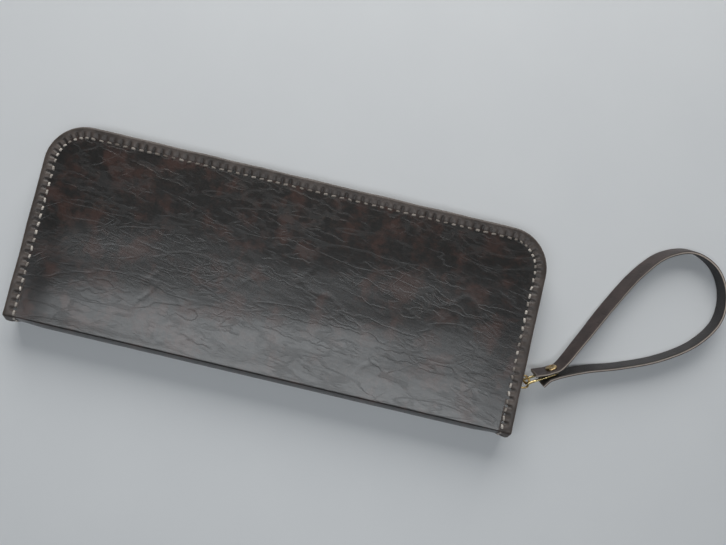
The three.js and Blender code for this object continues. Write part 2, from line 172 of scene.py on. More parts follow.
def cover_rows(inset, near_steps):
    """Rows of the cover's section from the far edge to halfway up the spine, for the front half.

    Each row is its y, its z, the outward direction in y and z, and its half length in x. Round
    the far corners the half length follows the arc; the fold is a quarter circle.
    """
    radius = CORNER - inset
    angles = np.linspace(math.pi / 2, 0, 15)
    far = FAR_Y - CORNER + radius * np.sin(angles)
    far_half = HALF_LENGTH - CORNER + radius * np.cos(angles)
    flat = np.linspace(FAR_Y - CORNER, SPINE_Y + FOLD_RADIUS, near_steps)[1:]
    fold = np.linspace(math.pi / 2, math.pi, 7)[1:]
    down = np.linspace(THICKNESS - FOLD_RADIUS, THICKNESS / 2, 9)[1:]
    y = np.concatenate([far, flat, SPINE_Y + FOLD_RADIUS + FOLD_RADIUS * np.cos(fold),
                        np.full(down.size, SPINE_Y)])
    z = np.concatenate([np.full(far.size + flat.size, THICKNESS),
                        THICKNESS - FOLD_RADIUS + FOLD_RADIUS * np.sin(fold), down])
    out_y = np.concatenate([np.zeros(far.size + flat.size), np.cos(fold), np.full(down.size, -1.0)])
    out_z = np.concatenate([np.ones(far.size + flat.size), np.sin(fold), np.zeros(down.size)])
    half = np.concatenate([far_half, np.full(y.size - far.size, HALF_LENGTH - inset)])
    return y, z, out_y, out_z, half


def across_rows(x, y, z):
    """A grid of points or directions: x as given, with one y and one z to each row."""
    return np.stack([x, np.broadcast_to(y[:, None], x.shape), np.broadcast_to(z[:, None], x.shape)], -1)


def section_length(y, z):
    """How long a section is, measured along it: the flat size of a sheet that follows it."""
    return float(np.hypot(np.diff(y), np.diff(z)).sum())


def turn_over(points, turn):
    """The front half's points with the spine bowed out, or turned over to make the back half.

    The bow is a half sine from fold to fold, and fades out within 4 mm behind the spine's face.
    """
    turned = points.copy()
    fade = 1 - smooth(turned[..., 1], SPINE_Y, SPINE_Y + 4 * MM)
    turned[..., 1] -= SPINE_BOW * fade * np.sin(math.pi * np.clip(turned[..., 2] / THICKNESS, 0, 1))
    if turn < 0:
        turned[..., 2] = THICKNESS - turned[..., 2]
    return turned


def bend_at_fold(made, half):
    """Bakes the piece's placement into its mesh."""
    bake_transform(made)


def cover_half(half, dome, seed):
    """The cover's outer surface: level, then raised by its padding, its dome and its creases.

    Height = tuck under the binding + dome (1 - y^2)(1 - x^4) + long ripples - shallow creases
    + belly, where a crease is the narrow valley where a warped ripple crosses zero.
    """
    inset, leather = 5.4 * MM, 0.8 * MM
    y, z, out_y, out_z, half_x = cover_rows(inset, 78)
    across = np.linspace(-1, 1, 251)
    x = across[None, :] * half_x[:, None]
    base = across_rows(x, y, z)
    outward = across_rows(np.zeros_like(x), out_y, out_z)
    rim = np.where(base[..., 2] < THICKNESS - FOLD_RADIUS, HALF_LENGTH - np.abs(x),
                   rim_distance(x, base[..., 1]))
    tuck = -PANEL_TUCK * (1 - smooth(rim, 8 * MM, 26 * MM))
    middle_y = (FAR_Y + SPINE_Y) / 2
    across_y = (base[..., 1] - middle_y) / (FAR_Y - middle_y)
    crown = dome * np.clip(1 - across_y ** 2, 0, 1) * (1 - (x / HALF_LENGTH) ** 4)
    on_panel = smooth(base[..., 1], SPINE_Y + 1 * MM, SPINE_Y + 7 * MM)
    loose = smooth(rim, 8 * MM, 22 * MM) * on_panel
    stretched = base * np.array([0.35, 1.0, 1.0])
    warp = 5 * MM * np.stack([ripples(base, 40 * MM, seed + 1), ripples(base, 30 * MM, seed + 2),
                              np.zeros_like(x)], -1)
    valley = np.exp(-(ripples(stretched + warp, 17 * MM, seed + 3) / 0.10) ** 2)
    patchy = smooth(ripples(base, 60 * MM, seed + 4), -0.4, 0.9)
    waves = 0.13 * MM * ripples(stretched, 26 * MM, seed + 5) - 0.09 * MM * valley * patchy
    belly = 0.5 * MM * np.sin(math.pi * np.clip(base[..., 2] / THICKNESS, 0, 1)) * (1 - on_panel)
    belly *= smooth(rim, 7 * MM, 24 * MM) * (base[..., 2] < THICKNESS - FOLD_RADIUS)
    height = tuck + crown + waves * loose + belly
    outer = base + outward * height[..., None]
    inner = base + outward * (height - leather)[..., None]
    turn = FOLDS[half]
    made = shell(f"{half}_cover_skin", turn_over(outer, turn), turn_over(inner, turn))
    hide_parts(f"{half}_cover", "spine_cover")
    section_length(y, z)
    bend_at_fold(made, half)
    return made


class Signal:
    """A value on its way through a finish's nodes. Arithmetic on it adds Math nodes."""

    def __init__(self, finish, socket):
        self.finish = finish
        self.socket = socket

    def maths(self, operation, *others):
        return self.finish.add("Math", {"operation": operation}, dict(enumerate((self, *others))))

    def __add__(self, other):
        return self.maths("ADD", other)

    def __mul__(self, other):
        return self.maths("MULTIPLY", other)

    def __sub__(self, other):
        return self.maths("SUBTRACT", other)

    def __rsub__(self, other):
        return self.maths("MULTIPLY", -1.0) + other

    def most(self, other):
        return self.maths("MAXIMUM", other)

    def between(self, low, high):
        """Smoothstep from 0 at low to 1 at high."""
        settings = {"interpolation_type": "SMOOTHSTEP"}
        return self.finish.add("MapRange", settings, {0: self, 1: low, 2: high})

    __radd__ = __add__
    __rmul__ = __mul__


class Finish:
    """A piece's material: a Principled shader and the nodes that vary it over the surface."""

    def __init__(self, name, **constants):
        self.material = bpy.data.materials.new(name)
        self.material.use_nodes = True
        self.tree = self.material.node_tree
        self.tree.nodes.clear()
        self.shader = self.tree.nodes.new("ShaderNodeBsdfPrincipled")
        output = self.tree.nodes.new("ShaderNodeOutputMaterial")
        self.tree.links.new(self.shader.outputs[0], output.inputs["Surface"])
        for label, value in constants.items():
            self.shader.inputs[label.replace("_", " ")].default_value = value

    def add(self, kind, settings, values, output=0):
        """One node of a kind, its settings set first, then its sockets linked or filled."""
        node = self.tree.nodes.new(f"ShaderNode{kind}")
        for label, value in settings.items():
            setattr(node, label, value)
        for label, value in values.items():
            if isinstance(value, Signal):
                self.tree.links.new(value.socket, node.inputs[label])
            else:
                node.inputs[label].default_value = value
        return Signal(self, node.outputs[output])

    def millimetres(self, x=1.0, y=1.0, z=1.0):
        """Object coordinates in millimetres, each divided by the length given for it."""
        place = self.add("TexCoord", {}, {}, "Object")
        scale = (1000 / x, 1000 / y, 1000 / z)
        return self.add("VectorMath", {"operation": "MULTIPLY"}, {0: place, 1: scale})

    def shifted(self, vector, amount, size, detail=2.0):
        """The vector pushed about by coloured noise of a size in millimetres."""
        noise = self.add("TexNoise", {}, {"Vector": self.millimetres(), "Scale": 1 / size,
                                          "Detail": detail}, "Color")
        centred = self.add("VectorMath", {"operation": "SUBTRACT"}, {0: noise, 1: (0.5, 0.5, 0.5)})
        push = self.add("VectorMath", {"operation": "SCALE"}, {0: centred, "Scale": amount})
        return self.add("VectorMath", {"operation": "ADD"}, {0: vector, 1: push})

    def noise(self, size, detail=3.0, roughness=0.55, vector=None):
        place = vector or self.millimetres()
        return self.add("TexNoise", {}, {"Vector": place, "Scale": 1 / size, "Detail": detail,
                                         "Roughness": roughness})

    def along_grain(self, degrees, long, short):
        """Object coordinates turned about the upright, then divided by a long and a short size."""
        settings = {"rotation_type": "Z_AXIS"}
        turned = self.add("VectorRotate", settings, {"Vector": self.millimetres(),
                                                     "Angle": math.radians(degrees)})
        scale = (1 / long, 1 / short, 1 / short)
        return self.add("VectorMath", {"operation": "MULTIPLY"}, {0: turned, 1: scale})

    def folds(self, vector, level, width, detail=2.0):
        """Long wandering lines where a noise crosses a level: 1 on the line, 0 a width away."""
        height = self.add("TexNoise", {}, {"Vector": vector, "Scale": 1.0, "Detail": detail,
                                           "Roughness": 0.45})
        return 1 - (height - level).maths("ABSOLUTE").between(0.0, width)

    def cell_edges(self, vector, width):
        """Thin lines where the cells of a Voronoi pattern meet: 1 on the line, 0 off it."""
        distance = self.add("TexVoronoi", {"feature": "DISTANCE_TO_EDGE"}, {"Vector": vector, "Scale": 1.0})
        return 1 - distance.between(0.0, width)

    def attribute(self, name):
        return self.add("Attribute", {"attribute_name": name}, {}, "Fac")

    def colours(self, mask, low, high):
        """A colour from low, where the mask is 0, to high, where it is 1."""
        return self.add("Mix", {"data_type": "RGBA"}, {0: mask, 6: low, 7: high}, 2)

    def feed(self, label, signal):
        self.tree.links.new(signal.socket, self.shader.inputs[label])

    def relief(self, height, depth):
        """A bump whose height of 1 stands depth metres above 0."""
        bump = self.add("Bump", {}, {"Height": height, "Strength": 1.0, "Distance": depth}, "Normal")
        self.feed("Normal", bump)


def leatherette(name, dark, warm, pale, roughness, relief=0.00005):
    """Embossed leatherette: marbled colour, a pebbled grain and long wandering wrinkles."""
    finish = Finish(name, IOR=1.5, Specular_IOR_Level=0.75, Coat_Weight=0.5, Coat_Roughness=0.24)
    patch = finish.noise(26, 2).between(0.38, 0.56)
    other_patch = finish.noise(19, 2, vector=finish.shifted(finish.millimetres(), 9, 40)).between(0.44, 0.60)
    first = finish.folds(finish.shifted(finish.along_grain(9, 42, 8.5), 0.5, 9), 0.5, 0.042) * patch
    second = finish.folds(finish.shifted(finish.along_grain(14, 24, 5.5), 0.4, 7), 0.52, 0.046) * other_patch
    third = finish.folds(finish.along_grain(-34, 34, 12), 0.47, 0.024) * patch * other_patch
    fourth = finish.folds(finish.along_grain(-2, 58, 15), 0.55, 0.026)
    fifth = finish.cell_edges(finish.shifted(finish.along_grain(6, 17, 6.5), 0.9, 12), 0.08)
    fifth = fifth * (1 - patch) * other_patch
    lines = first.most(second * 0.8).most(third).most(fourth * 0.8).most(fifth * 0.7)
    pebble = finish.noise(0.75, 2)
    fine = finish.noise(2.4, 3, 0.6)
    rolling = finish.noise(1.0, 2, 0.5, finish.along_grain(9, 13, 4.5))
    marble = finish.noise(15, 5, 0.62, finish.shifted(finish.millimetres(), 14, 30)).between(0.46, 0.66)
    speck = finish.noise(3.4, 4, 0.7).between(0.46, 0.70)
    base = finish.colours(marble * 0.8 + speck * 0.2, dark, warm)
    rubbed = finish.noise(46, 3).between(0.52, 0.74) * speck
    base = finish.colours(rubbed * 0.5, base, pale)
    # Painted shade: the base colour is darkened along the wrinkle lines, where shade falls in the creases.
    base = finish.colours(lines * 0.22, base, tuple(0.4 * c for c in dark[:3]) + (1.0,))
    finish.feed("Base Color", base)
    finish.feed("Roughness", roughness + fine * 0.08 + lines * 0.10)
    finish.relief(pebble * 0.26 + fine * 0.42 + rolling * 2.2 - lines, relief)
    return finish.material


cover_leather = leatherette(
    "cover_leather", (0.0060, 0.0048, 0.0038, 1), (0.046, 0.0195, 0.0135, 1), (0.040, 0.031, 0.025, 1), 0.28)
for cover_name, cover_dome, cover_seed in (("front", 1.6 * MM, 11), ("back", -0.4 * MM, 47)):
    cover_half(cover_name, cover_dome, cover_seed).data.materials.append(cover_leather)


# Boards. Grey-brown pressed board stiffens the two panels and the spine. Each is glued between
# the leatherette and the lining, so only its edges can ever be seen, at the open folds.
pressed_board = Finish("pressed_board", Roughness=0.9)
fibres = pressed_board.noise(1.5, 4, vector=pressed_board.millimetres(5, 1, 1))
pressed_board.feed("Base Color", pressed_board.colours(fibres, (0.22, 0.17, 0.12, 1), (0.38, 0.31, 0.23, 1)))
pressed_board.relief(fibres, 0.0001)
for board_name in ("front_board", "back_board", "spine_board"):
    frame["nodes"][board_name].material_slots[0].material = pressed_board.material


# Lining. Dark brushed cloth glued over the boards inside, from under the binding's inner leg on
# one panel, across the spine, to the other. It hollows a little into both inner folds.
LINING_LEVEL = 4.1 * MM


def lining_half(half):
    """The lining's inner surface: flat on the panel, a quarter circle at the fold, flat on the spine."""
    inset, cloth, hollow = 7.4 * MM, 0.5 * MM, 1.6 * MM
    radius = CORNER - inset
    angles = np.linspace(math.pi / 2, 0, 13)
    spine_face = SPINE_Y + LINING_LEVEL
    far = FAR_Y - CORNER + radius * np.sin(angles)
    flat = np.linspace(FAR_Y - CORNER, spine_face + hollow, 60)[1:]
    fold = np.linspace(0, math.pi / 2, 8)[1:]
    down = np.linspace(THICKNESS - LINING_LEVEL - hollow, THICKNESS / 2, 8)[1:]
    panel = far.size + flat.size
    y = np.concatenate([far, flat, spine_face + hollow - hollow * np.sin(fold),
                        np.full(down.size, spine_face)])
    z = np.concatenate([np.full(panel, THICKNESS - LINING_LEVEL),
                        THICKNESS - LINING_LEVEL - hollow + hollow * np.cos(fold), down])
    in_y = np.concatenate([np.zeros(panel), np.sin(fold), np.ones(down.size)])
    in_z = np.concatenate([-np.ones(panel), -np.cos(fold), np.zeros(down.size)])
    half_x = np.concatenate([HALF_LENGTH - CORNER + radius * np.cos(angles),
                             np.full(y.size - far.size, HALF_LENGTH - inset)])
    x = np.linspace(-1, 1, 181)[None, :] * half_x[:, None]
    face = across_rows(x, y, z)
    inward = across_rows(np.zeros_like(x), in_y, in_z)
    nap = 0.07 * MM * ripples(face, 24 * MM, 5)[..., None]
    turn = FOLDS[half]
    made = shell(f"{half}_lining_cloth", turn_over(face + inward * nap, turn),
                 turn_over(face - inward * cloth, turn))
    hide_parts(f"{half}_lining", "spine_lining")
    section_length(y, z)
    bend_at_fold(made, half)
    return made


lining_cloth = Finish("lining_cloth", Roughness=0.95, Sheen_Weight=0.35, Sheen_Roughness=0.5)
warp_threads = lining_cloth.add("TexWave", {"bands_direction": "X"}, {
    "Vector": lining_cloth.millimetres(), "Scale": 0.55, "Distortion": 0.6, "Detail": 1.0})
weft_threads = lining_cloth.add("TexWave", {"bands_direction": "Y"}, {
    "Vector": lining_cloth.millimetres(), "Scale": 0.55, "Distortion": 0.6, "Detail": 1.0})
cloth_weave = warp_threads * 0.5 + weft_threads * 0.5
cloth_fluff = lining_cloth.noise(9, 5, 0.65)
lining_cloth.feed("Base Color", lining_cloth.colours(
    cloth_weave * 0.5 + cloth_fluff * 0.5, (0.007, 0.006, 0.0065, 1), (0.048, 0.043, 0.044, 1)))
lining_cloth.relief(cloth_weave + cloth_fluff * 0.6, 0.00018)
for lining_name in FOLDS:
    lining_half(lining_name).data.materials.append(lining_cloth.material)


# Binding. A narrow leatherette tape folded over the panel's raw edge, from the middle of the
# spine's left end, round the panel and back to the right end. The seam through it pulls it in
# at every hole, so it puckers between the stitches.
PITCH = 4.8 * MM
SEAM_INSET = 6.8 * MM
TAPE_DEPTH = 4.4 * MM


def edge_run(spacing):
    """Stations along the bound edge of the front half, with the distance along it.

    The run goes up the left end of the spine, over the fold, round the panel in the plane of its
    face and down the right end of the spine. Each station has its point on the outer edge, the
    direction across the tape and the direction out of the cover.
    """
    top, left, far = THICKNESS, -HALF_LENGTH, FAR_Y
    point, across, outward = [], [], []

    def stretch(length, place, inwards, outwards):
        t = np.linspace(0, 1, max(int(round(length / spacing)), 2), endpoint=False)[:, None]
        point.append(place(t))
        across.append(np.broadcast_to(inwards(t), (t.size, 3)))
        outward.append(np.broadcast_to(outwards(t), (t.size, 3)))

    def fixed(x, y, z):
        return lambda t: np.array([[x, y, z]], float) + 0 * t

    def line(start, end):
        return lambda t: np.array(start) * (1 - t) + np.array(end) * t

    def turned(centre, radius, angles, plane):
        """A point on a quarter circle about the centre, in the xy plane or the yz plane."""
        def place(t):
            angle = angles[0] + (angles[1] - angles[0]) * t
            a, b = radius * np.cos(angle), radius * np.sin(angle)
            parts = (a, b, 0 * t) if plane == "xy" else (0 * t, a, b)
            return np.array(centre) + np.concatenate(parts, 1)
        return place

    quarter = math.pi / 2
    fold_y, fold_z = SPINE_Y + FOLD_RADIUS, top - FOLD_RADIUS
    corner_y = far - CORNER
    fold_length, corner_length = FOLD_RADIUS * quarter, CORNER * quarter
    stretch(fold_z - THICKNESS / 2, line((left, SPINE_Y, THICKNESS / 2), (left, SPINE_Y, fold_z)),
            fixed(1, 0, 0), fixed(0, -1, 0))
    stretch(fold_length, turned((left, fold_y, fold_z), FOLD_RADIUS, (2 * quarter, quarter), "yz"),
            fixed(1, 0, 0), turned((0, 0, 0), 1, (2 * quarter, quarter), "yz"))
    stretch(corner_y - fold_y, line((left, fold_y, top), (left, corner_y, top)),
            fixed(1, 0, 0), fixed(0, 0, 1))
    stretch(corner_length, turned((left + CORNER, corner_y, top), CORNER, (2 * quarter, quarter), "xy"),
            turned((0, 0, 0), -1, (2 * quarter, quarter), "xy"), fixed(0, 0, 1))
    stretch(2 * (HALF_LENGTH - CORNER), line((left + CORNER, far, top), (-left - CORNER, far, top)),
            fixed(0, -1, 0), fixed(0, 0, 1))
    stretch(corner_length, turned((-left - CORNER, corner_y, top), CORNER, (quarter, 0), "xy"),
            turned((0, 0, 0), -1, (quarter, 0), "xy"), fixed(0, 0, 1))
    stretch(corner_y - fold_y, line((-left, corner_y, top), (-left, fold_y, top)),
            fixed(-1, 0, 0), fixed(0, 0, 1))
    stretch(fold_length, turned((-left, fold_y, fold_z), FOLD_RADIUS, (quarter, 2 * quarter), "yz"),
            fixed(-1, 0, 0), turned((0, 0, 0), 1, (quarter, 2 * quarter), "yz"))
    down_end = fold_z - THICKNESS / 2
    steps = np.linspace(0, 1, max(int(round(down_end / spacing)), 2) + 1)[:, None]
    point.append(line((-left, SPINE_Y, fold_z), (-left, SPINE_Y, THICKNESS / 2))(steps))
    across.append(np.broadcast_to([[-1.0, 0, 0]], (steps.size, 3)))
    outward.append(np.broadcast_to([[0, -1.0, 0]], (steps.size, 3)))
    point, across, outward = (np.concatenate(parts) for parts in (point, across, outward))
    along = np.concatenate([[0], np.cumsum(np.linalg.norm(np.diff(point, axis=0), axis=1))])
    return along, point, across, outward


def seam_inset(along, length):
    """The seam wanders a little outwards on the last stretch towards each fold."""
    from_end = np.minimum(along, length - along)
    return SEAM_INSET - 0.5 * MM * (1 - smooth(from_end, 15 * MM, 60 * MM))


def tape_relief(along, inset, seam):
    """How far the tape's outer face stands above the cover's level, and how deep its pinches are.

    A full roll along the edge falls away to the seam. Every pitch a narrow pinch runs across its
    inner slope, and the tape stands up between two pinches.
    """
    phase = (along / PITCH + 0.5) % 1 - 0.5
    roll = 0.9 * MM * np.sin(math.pi * np.clip(inset / seam, 0, 1) ** 0.52) ** 0.85
    slope = smooth(inset, 2.3 * MM, 4.0 * MM) * (1 - smooth(inset, seam + 0.2 * MM, BINDING_WIDTH))
    pinch = np.exp(-(phase / 0.15) ** 2) * slope
    swell = 0.14 * MM * np.cos(2 * math.pi * phase) * slope
    groove = 0.22 * MM * np.exp(-((inset - seam) / (0.7 * MM)) ** 2)
    return roll - groove - swell, pinch


def binding_half(half, fullness, settle):
    """The folded tape as a closed section carried along the bound edge."""
    along, point, across, outward = edge_run(0.48 * MM)
    seam = seam_inset(along, along[-1])[:, None]
    round_edge = 0.9 * MM
    quarter = np.linspace(0, math.pi / 2, 5)
    outer = np.linspace(BINDING_WIDTH - 0.1 * MM, round_edge, 21)
    leg = 1.0 * MM
    section_inset = np.concatenate([
        outer, round_edge - round_edge * np.sin(quarter[1:]), [0.0, 0.0],
        round_edge - round_edge * np.cos(quarter), np.linspace(2 * MM, BINDING_WIDTH - 0.3 * MM, 6),
        [BINDING_WIDTH, BINDING_WIDTH - 0.3 * MM], [1.3 * MM, 1.3 * MM],
        [BINDING_WIDTH - 0.3 * MM, BINDING_WIDTH]])
    section_depth = np.concatenate([
        np.zeros(outer.size), round_edge - round_edge * np.cos(quarter[1:]),
        [TAPE_DEPTH * 0.4, TAPE_DEPTH * 0.6],
        TAPE_DEPTH - round_edge + round_edge * np.sin(quarter), np.full(6, TAPE_DEPTH),
        [TAPE_DEPTH - 0.4 * MM, TAPE_DEPTH - 0.9 * MM], [TAPE_DEPTH - leg, leg],
        [leg + 0.1 * MM, 0.6 * MM]])
    inset = np.broadcast_to(section_inset[None, :], (along.size, section_inset.size))
    depth = np.broadcast_to(section_depth[None, :], inset.shape)
    on_face = np.zeros(section_inset.size)
    on_face[:outer.size] = 1
    on_face[outer.size:outer.size + 3] = (0.8, 0.5, 0.2)
    raised, pinch = tape_relief(along[:, None], inset, seam)
    force = 0.62 + 0.28 * ripples(point, 55 * MM, 31) + 0.30 * ripples(point, 10 * MM, 37)
    force += 0.35 * smooth(-point[:, 0], 0.125, HALF_LENGTH)
    force = np.clip(force, 0.12, 1.2)[:, None]
    lift = fullness * (raised - 0.42 * MM * force * pinch + 0.09 * MM * ripples(point, 19 * MM, 23)[:, None])
    tuck = 0.3 * MM * smooth(inset, BINDING_WIDTH - 0.7 * MM, BINDING_WIDTH) * on_face
    from_fold = np.linalg.norm(point[:, 1:] - np.array([SPINE_Y, THICKNESS]), axis=1)
    thin = (0.45 + 0.55 * smooth(from_fold, 1.0 * MM, 5 * MM))[:, None]
    wobble = 0.12 * MM * ripples(point, 33 * MM, 29)[:, None] * (inset < 2 * MM)
    on_side = depth < TAPE_DEPTH / 2
    depth = depth * thin + tuck - lift * on_face * thin + settle * on_side
    place = (point[:, None] + across[:, None] * (inset + wobble)[..., None]
             - outward[:, None] * depth[..., None])
    # Painted shade: near-black in each pinch across the middle of the tape, where shade falls at the stitch
    # holes.
    hole = 0.9 * pinch * force * np.exp(-((inset - 4.7 * MM) / (1.1 * MM)) ** 2) * on_face
    # Painted highlight: a lighter band round the tape's rounded outer rim, where the roll catches the light.
    wear = np.exp(-((inset - 0.5 * MM) / (0.6 * MM)) ** 2) * on_side
    between = 0.5 - 0.5 * np.cos(2 * math.pi * along[:, None] / PITCH)
    # Painted highlight: the tape is marked lighter where it stands up between two pinches, across its middle.
    rib = between ** 2 * force * np.exp(-((inset - 4.2 * MM) / (1.3 * MM)) ** 2) * on_face
    rows, columns = inset.shape
    caps = end_caps(rows, columns)
    turn = FOLDS[half]
    made = piece(f"{half}_binding_tape", turn_over(place, turn),
                 grid_faces(rows, columns, wrap_columns=True), caps,
                 hole=np.clip(hole, 0, 1), wear=wear, rib=np.clip(rib, 0, 1))
    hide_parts(f"{half}_binding", "spine_binding_left", "spine_binding_right")
    bend_at_fold(made, half)
    return made


tape_leather = Finish("tape_leather", IOR=1.5)
tape_grain = tape_leather.noise(1.1, 3, 0.6)
tape_cloud = tape_leather.noise(13, 4, 0.6).between(0.36, 0.66)
tape_colour = tape_leather.colours(tape_cloud * 0.7 + tape_grain * 0.3,
                                   (0.028, 0.0205, 0.0168, 1), (0.088, 0.069, 0.060, 1))
# Painted highlight: the tape is lightened along its rounded outer rim.
tape_colour = tape_leather.colours(tape_leather.attribute("wear") * 0.40, tape_colour, (0.15, 0.12, 0.10, 1))
# Painted highlight on the raised ribs between the stitches.
tape_colour = tape_leather.colours(tape_leather.attribute("rib") * 0.35, tape_colour, (0.17, 0.135, 0.115, 1))
# Painted shade: near-black in the pinches at the stitch holes.
tape_colour = tape_leather.colours(tape_leather.attribute("hole"), tape_colour, (0.006, 0.005, 0.004, 1))
tape_leather.feed("Base Color", tape_colour)
tape_leather.feed("Roughness", 0.36 + tape_grain * 0.14)
tape_leather.relief(tape_grain + tape_leather.noise(4, 2) * 0.6, 0.00012)
for tape_name, tape_fullness, tape_settle in (("front", 1.0, 0.0), ("back", 0.4, 0.35 * MM)):
    binding_half(tape_name, tape_fullness, tape_settle).data.materials.append(tape_leather.material)


# Stitching. A thick waxed off-white thread in a lockstitch through the binding. Each stitch
# bridges one pitch on the outer face and dives into a hole at both its ends.
def stitches_half(half, settle):
    """Every stitch as a short flattened tube whose height falls as the fourth power of the way out."""
    along, point, across, outward = edge_run(0.6 * MM)
    draw = np.random.default_rng(71 if half == "front" else 72)
    count = int(along[-1] / PITCH)
    centre = (np.arange(count) + 0.5) * PITCH
    step = np.linspace(-1, 1, 9)
    reach = 0.35 * PITCH * draw.uniform(0.85, 1.08, count)
    at = centre[:, None] + step[None, :] * reach[:, None]

    def follow(values):
        return np.stack([np.interp(at, along, values[:, k]) for k in range(3)], -1)

    where, inward, out = follow(point), follow(across), follow(outward)
    seam = seam_inset(at, along[-1])
    slant = draw.uniform(-0.35, 0.35, count)[:, None] * MM * step[None, :]
    radius = 0.74 * MM * np.clip(1 - step ** 6, 0.3, 1) * draw.uniform(0.85, 1.1, (count, 1))
    rise = (0.02 + 0.16 * draw.uniform(0, 1, (count, 1)) - 0.80 * step[None, :] ** 4) * MM - settle
    angle = np.linspace(0, 2 * math.pi, 8, endpoint=False)
    sideways = (seam + slant)[..., None] + radius[..., None] * np.cos(angle)
    upwards = rise[..., None] + 0.66 * radius[..., None] * np.sin(angle)
    place = (where[:, :, None] + inward[:, :, None] * sideways[..., None]
             + out[:, :, None] * upwards[..., None])
    sides, rings = angle.size, step.size
    one = grid_faces(rings, sides, wrap_columns=True)
    size = rings * sides
    offsets = np.arange(count) * size
    quads = (one[None] + offsets[:, None, None]).reshape(-1, 4)
    caps = [cap for start in offsets for cap in (range(start, start + sides)[::-1],
                                                 range(start + size - sides, start + size))]
    turn = FOLDS[half]
    twist = np.broadcast_to((at / MM)[..., None] * 1.1 + angle / (2 * math.pi), place.shape[:3])
    centre_x, centre_y = (np.interp(centre, along, point[:, k]) for k in (0, 1))
    # Painted shade: stitches on the far run and towards the right end are darkened. The squared random draw
    # is real soiling that differs from stitch to stitch.
    far_and_right_shade = 0.8 * smooth(centre_y, FAR_Y - 9 * MM, FAR_Y) + 0.3 * smooth(centre_x, 0.12, HALF_LENGTH)
    soil_and_shade_by_stitch = np.clip(draw.uniform(0, 1, count) ** 2 + far_and_right_shade, 0, 1)
    soil = np.broadcast_to(soil_and_shade_by_stitch[:, None, None], place.shape[:3])
    made = piece(f"{half}_seam_thread", turn_over(place, turn), quads, caps, twist=twist, soil=soil)
    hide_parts(f"{half}_stitching", "spine_stitching_left", "spine_stitching_right")
    bend_at_fold(made, half)
    return made


waxed_thread = Finish("waxed_thread", Roughness=0.6)
ply_grooves = waxed_thread.attribute("twist").maths("FRACT").maths("PINGPONG", 0.5) * 2
# The thread runs from off-white to dark brown by this mask: real soiling at random, and painted shade along
# the far run and the right end.
thread_soil_and_shade = waxed_thread.attribute("soil") * 0.8 + waxed_thread.noise(16, 2).between(0.45, 0.7) * 0.2
thread_colour = waxed_thread.colours(thread_soil_and_shade, (0.80, 0.74, 0.67, 1), (0.10, 0.081, 0.070, 1))
# Painted shade: the grooves between the thread's plies are darkened.
waxed_thread.feed("Base Color", waxed_thread.colours(ply_grooves * 0.35, thread_colour, (0.16, 0.13, 0.10, 1)))
waxed_thread.relief(1 - ply_grooves, 0.00012)
for seam_name, seam_settle in (("front", 0.0), ("back", 0.75 * MM)):
    stitches_half(seam_name, seam_settle).data.materials.append(waxed_thread.material)


# Zip tapes. Woven tape sewn under each binding stands up round the three open sides and makes
# the case's wall. Its free edge carries the coil.
TAPE_INSET = HALF_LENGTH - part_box("front_zip_tape")[1].x
TAPE_END_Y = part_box("front_zip_tape")[0].y
COIL_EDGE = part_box("back_zip_coil")[1].z


def rim_run(left_y, right_y, spacing):
    """Points and inward directions along the case's outer edge, in plan, between two ends."""
    quarter, straight_end = math.pi / 2, FAR_Y - CORNER
    lengths = [straight_end - left_y, CORNER * quarter, 2 * (HALF_LENGTH - CORNER), CORNER * quarter,
               straight_end - right_y]
    stops = np.concatenate([[0], np.cumsum(lengths)])
    along = np.linspace(0, stops[-1], int(stops[-1] / spacing))
    angle = math.pi - quarter * np.clip((along - stops[1]) / lengths[1], 0, 1)
    angle = angle - quarter * np.clip((along - stops[3]) / lengths[3], 0, 1)
    x = np.clip(along - stops[2], 0, lengths[2]) - (HALF_LENGTH - CORNER)
    y = straight_end - np.clip(stops[1] - along, 0, None) - np.clip(along - stops[4], 0, None)
    outwards = np.stack([np.cos(angle), np.sin(angle)], 1)
    return along, np.stack([x, y], 1) + CORNER * outwards, -outwards


def zip_tape_half(half):
    """A thin rounded strip on edge: a flat oval section of inset and height carried round the rim."""
    along, point, inward = rim_run(TAPE_END_Y - 0.8 * MM, TAPE_END_Y - 0.8 * MM, 1.2 * MM)
    low, high, thick = TAPE_DEPTH - 0.7 * MM, COIL_EDGE, 0.75 * MM
    rows = np.linspace(low, high, 11)
    inset = TAPE_INSET + np.concatenate([np.zeros(rows.size), np.full(rows.size, thick)])
    height = np.concatenate([rows, rows[::-1]])
    wave = 0.12 * MM * ripples(np.concatenate([point, 0 * point[:, :1]], 1), 21 * MM, 61)
    free = smooth(height, TAPE_DEPTH, COIL_EDGE)
    shift = inset[None, :] + wave[:, None] * (1 - free)[None, :]
    flat = point[:, None] + inward[:, None] * shift[..., None]
    place = np.concatenate([flat, np.broadcast_to(height[None, :, None], (*flat.shape[:2], 1))], -1)
    columns = height.size
    caps = end_caps(along.size, columns)
    run = np.broadcast_to(along[:, None] / MM, place.shape[:2])
    turn = -FOLDS[half]
    made = piece(f"{half}_zip_tape_weave", turn_over(place, turn),
                 grid_faces(along.size, columns, wrap_columns=True), caps, run=run)
    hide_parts(f"{half}_zip_tape")
    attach(made, half)
    return made


